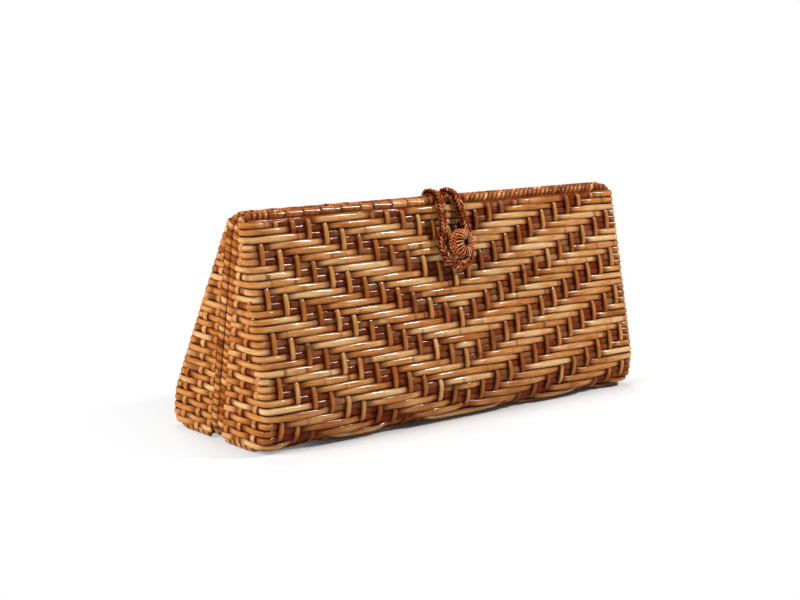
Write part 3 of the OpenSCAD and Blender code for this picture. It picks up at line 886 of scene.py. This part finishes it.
def loop_stations():
    """Place, facing and fullness of the plait; its tails draw in round the back rod."""
    lift = SKIN + BUTTON_GAP + BUTTON_DEPTH / 3 - 1.3
    low = -(BUTTON_D / 2 + LOOP_CLEAR + LOOP_W / 2)
    side = -low - 0.2
    over = BAG_H + CLEAR + LOOP_T / 2 + 0.4
    half = [
        ((LEG_X, RIM_Y + 2.05, RIM_TOP - 0.9), (0, 1.0, -0.2), 0.4),
        ((LEG_X, RIM_Y + 1.9, RIM_TOP + 1.6), (0, 0.8, 0.6), 0.5),
        ((LEG_X, RIM_Y, RIM_TOP + EYE_R + LOOP_T / 2 - 0.7), (0, 0.1, 1), 0.95),
        ((LEG_X, -RIM_Y + 1.6, over), (0, -0.1, 1), 1.0),
        ((LEG_X + 0.3, -MOUTH_Y - 2.2, over - 2.4), (0, -0.75, 0.66), 1.0),
        (by_button(side - 2.6, -low * 0.8, lift - 0.6), FACE_OUT, 1.0),
        (by_button(side, 0, lift - 1.2), FACE_OUT, 1.0),
        (by_button(side * 0.66, low * 0.76, lift), FACE_OUT, 1.0),
        (by_button(0, low, lift + 0.6), FACE_OUT, 1.0),
    ]
    flip = np.array([-1, 1, 1])
    return half + [(np.array(p) * flip, np.array(d) * flip, f) for p, d, f in reversed(half[:-1])]


def braid_loop():
    """Fine canes plaited in a herringbone along the loop's centre line, from rod to button and back."""
    stations = loop_stations()
    line = smooth_line([p for p, d, f in stations], 24)
    facing = smooth_line([np.array(d) / np.linalg.norm(d) for p, d, f in stations], 24)
    full = smooth_line([[f] for p, d, f in stations], 24)
    length = lengths_along(line)
    at = np.arange(0, length[-1], 0.36)
    line, facing, full = (rows_at(at, length, rows) for rows in (line, facing, full))
    full = full[:, 0]
    tangent = unit_rows(np.gradient(line, axis=0))
    across = unit_rows(np.cross(facing, tangent))
    out = np.cross(tangent, across)
    # The core is painted near-black, as painted shade in the gaps between the stitches
    canes = [roll_cane(line, out, CORE_W * full, CORE_T * full, 0.15, 0.9)]
    # Two rows of stitches on each side of the braid, from its edges in to its middle
    u = np.linspace(0, 1, 9)
    edge_to_middle = 2.15 - 2.4 * u**1.25
    swell = 0.35 + 0.95 * np.sin(math.pi * np.clip(u, 0, 0.97)) ** 0.8
    # Painted shade: a stitch darkens at the braid's edge and most in its middle, where it goes under
    tuck = np.interp(u, (0, 0.25, 0.7, 1), (0.55, 0.05, 0.1, 0.9))
    for start in np.arange(3.2, at[-1] - 0.5, STITCH):
        for side, front in ((-1, 1), (1, 1), (-1, -1), (1, -1)):
            reach = np.clip(start + (STITCH / 2 if side > 0 else 0) - STITCH_RUN * u, 0, at[-1])
            fill = np.interp(reach, at, full)
            up = rows_at(reach, at, out) * front
            aside = rows_at(reach, at, across) * (side * edge_to_middle * fill)[:, None]
            points = rows_at(reach, at, line) + aside
            points += up * (swell * fill)[:, None]
            shade = float(np.clip(rng.normal(0.6, 0.15), 0, 1))
            canes.append(roll_cane(points, up, STITCH_W * fill, STITCH_T * fill, shade, tuck, sides=6))
    return canes


# Button

PETALS = 20
# Height and radius along a petal, from the hollow out over the edge and down the side
PETAL = [
    [0.5, 0.22], [0.8, 0.24], [0.94, 0.34], [0.985, 0.5],
    [0.975, 0.66], [0.94, 0.79], [0.87, 0.88], [0.8, 0.88],
]
# Height, radius and way of twist of the rows round the button's side
PLAIT_ROWS = ((0.7, 0.97, 1), (0.51, 1.0, -1), (0.32, 0.97, 1), (0.14, 0.85, -1))
# Length of one twist of a row, and the distance of its two canes from their middle and of that from the side
PLAIT_TWIST, PLAIT_R, PLAIT_IN = 3.7, 0.55, 0.85
# The drum inside: radius and depth as shares of the button's, its rounding, and the hollow's wall and depth
DRUM_R, DRUM_DEPTH, DRUM_EDGE, HOLLOW_WALL, HOLLOW_DEPTH = 0.86, 0.8, 1.3, 3.7, 2.6


def on_button(around, radius, depth):
    """Places round the button's axis, at a radius and a height above the wall."""
    around, radius, depth = np.broadcast_arrays(around, radius, depth)
    return (
        TIE
        + (radius * np.cos(around))[:, None] * np.array([1.0, 0, 0])
        + (radius * np.sin(around))[:, None] * FACE_UP
        + depth[:, None] * FACE_OUT
    )


def knot_button():
    """Rosette of canes on the button's front that turn over its edge, above plaited rows round its side."""
    canes = []
    radius = BUTTON_D / 2
    petal = smooth_line(PETAL, 4)
    t = np.linspace(0, 1, len(petal))
    for k in range(PETALS):
        around = 2 * math.pi * k / PETALS + 0.22 * t
        points = on_button(around, petal[:, 1] * radius, BUTTON_BACK + petal[:, 0] * BUTTON_DEPTH)
        outs = unit_rows(points - by_button(0, 0, BUTTON_BACK + BUTTON_DEPTH * 0.4))
        width = np.clip(2 * math.pi * petal[:, 1] * radius / PETALS * 0.7, 0.4, 0.95)
        shade = float(rng.uniform(0.75, 1.0))
        # Painted shade darkens each petal's inner end, where it goes down into the hollow
        canes.append(roll_cane(points, outs, width, 0.5 + 0.32 * width, shade, 0.7 * (1 - t) ** 5))
    # Rows of twisted pairs, turned one way and the other, that meet in chevrons
    a = np.linspace(0, 2 * math.pi, 145)
    for height, wide, way in PLAIT_ROWS:
        turns = round(2 * math.pi * wide * radius / PLAIT_TWIST)
        ring, level = wide * radius - PLAIT_IN, BUTTON_BACK + height * BUTTON_DEPTH
        for strand in (0, 1):
            twist = way * turns * a + strand * math.pi
            points = on_button(a, ring + PLAIT_R * np.cos(twist), level + PLAIT_R * np.sin(twist))
            outs = unit_rows(points - on_button(a, ring, level))
            # Painted shade darkens each cane where it turns in under its partner
            tuck = np.clip(0.35 - 0.6 * np.cos(twist), 0, 0.9)
            canes.append(roll_cane(points, outs, 1.05, 0.95, 0.55 + 0.2 * strand, tuck, sides=6))
    return canes


def select_faces(piece, wanted):
    """In edit mode, selects the faces for which wanted is true, and no others."""
    bpy.ops.mesh.select_all(action="DESELECT")
    shape = bmesh.from_edit_mesh(piece.data)
    for face in shape.faces:
        face.select_set(wanted(face))
    bmesh.update_edit_mesh(piece.data)


def turn_button_core(look):
    """Dark heart of the knot, painted dark as the shade in the knot's gaps and hollow: a turned drum with
    rounded edges and a hollow in its front.
    """
    deselect()
    bpy.ops.mesh.primitive_cylinder_add(
        vertices=40, radius=DRUM_R * BUTTON_D / 2 * MM, depth=DRUM_DEPTH * BUTTON_DEPTH * MM
    )
    core = bpy.context.object
    core.name = core.data.name = "button_core"
    front = 0.39 * BUTTON_DEPTH * MM
    bpy.ops.object.mode_set(mode="EDIT")
    bpy.ops.mesh.select_mode(type="FACE")
    select_faces(core, lambda face: abs(face.normal.z) > 0.9)
    bpy.ops.mesh.bevel(offset=DRUM_EDGE * MM, segments=4, affect="EDGES")
    select_faces(
        core,
        lambda face: face.normal.z > 0.9 and face.calc_center_median().z > front and len(face.verts) > 8,
    )
    bpy.ops.mesh.inset(thickness=HOLLOW_WALL * MM)
    bpy.ops.mesh.extrude_region_move(TRANSFORM_OT_translate={"value": (0, 0, -HOLLOW_DEPTH * MM)})
    bpy.ops.object.mode_set(mode="OBJECT")
    bpy.ops.object.shade_smooth_by_angle(angle=math.radians(40))
    middle = by_button(0, 0, BUTTON_BACK + BUTTON_DEPTH * 0.46) * MM
    core.matrix_world = Matrix((
        (1, 0, 0, middle[0]),
        (0, FACE_UP[1], FACE_OUT[1], middle[1]),
        (0, FACE_UP[2], FACE_OUT[2], middle[2]),
        (0, 0, 0, 1),
    ))
    bpy.ops.object.transform_apply(location=True, rotation=True, scale=True)
    core.data.materials.append(look)
    return core


def finish_node(node, look):
    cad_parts[node].data.materials.clear()
    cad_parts[node].data.materials.append(look)


set_camera()
make_world()
make_floor()
for lamp in LAMPS:
    add_lamp(*lamp)

honey = cane_finish(
    "varnished_split_cane",
    [(116, 50, 8), (156, 86, 30), (190, 127, 65), (213, 171, 119)],
    tuck_shade_and_stain_tone=(88, 18, 0),
    edge_shade_tone=(44, 8, 0),
    woven=True,
)
bound = cane_finish(
    "varnished_binding_cane",
    [(80, 29, 2), (131, 62, 14), (172, 98, 37), (214, 158, 98)],
    tuck_shade_and_stain_tone=(38, 9, 0),
    edge_shade_tone=(38, 9, 0),
    coat=0.2,
    seam=True,
)
# The braid's tuck and edge tones are painted shade in its gaps
braided = cane_finish(
    "varnished_braid_cane",
    [(88, 21, 0), (126, 43, 7), (165, 74, 26), (240, 168, 117)],
    tuck_shade_and_stain_tone=(28, 4, 0),
    edge_shade_tone=(36, 6, 0),
    joints=0.1,
    stretch=2.0,
)
rod = rod_finish("varnished_rim_rod", [(96, 46, 20), (132, 70, 34), (160, 94, 50)])
tie = rod_finish("varnished_tie_cane", [(112, 58, 26), (156, 92, 46), (190, 128, 70)], (300.0, 60.0, 60.0))
heart = rod_finish("painted_shade_button_heart", [(38, 14, 5), (58, 24, 8), (76, 34, 14)], (200.0, 200.0, 200.0))

deselect()
front_weavers = join_canes(weave_weavers(False), "front_weavers", honey)
front_stakes = join_canes(set_stakes(), "front_stakes", honey)
front_border = join_canes(twist_border(), "front_border", honey)
back_weavers = turn_round(join_canes(weave_weavers(True), "back_weavers", honey))
back_stakes = turn_copy(front_stakes, "back_stakes")
back_border = turn_copy(front_border, "back_border")
fit_piece(front_weavers, "front_half", "woven_cane", "front_shell")
fit_piece(front_stakes, "front_half", "woven_cane")
fit_piece(front_border, "front_half", "woven_cane")
fit_piece(back_weavers, "back_half", "woven_cane", "back_shell")
fit_piece(back_stakes, "back_half", "woven_cane")
fit_piece(back_border, "back_half", "woven_cane")

front_turns = join_canes(bind_rim(False), "front_rim_turns", bound)
fit_piece(front_turns, "front_half", "binding_cane", "front_rim_binding")
back_turns = join_canes(bind_rim(True), "back_rim_turns", bound)
fit_piece(back_turns, "back_half", "binding_cane", "back_rim_binding")
loop_braid = join_canes(braid_loop(), "loop_braid", braided)
fit_piece(loop_braid, "closure_loop", "braided_cane", "closure_loop")
button_knot = join_canes(knot_button(), "button_knot", braided)
fit_piece(button_knot, "front_half", "braided_cane", "button")
fit_piece(turn_button_core(heart), "front_half", "braided_cane")

for node in ("front_rim", "back_rim", "button_shank", "button_stop"):
    finish_node(node, rod)
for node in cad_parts:
    if node.startswith(("hinge_lashing", "loop_eye")):
        finish_node(node, tie)
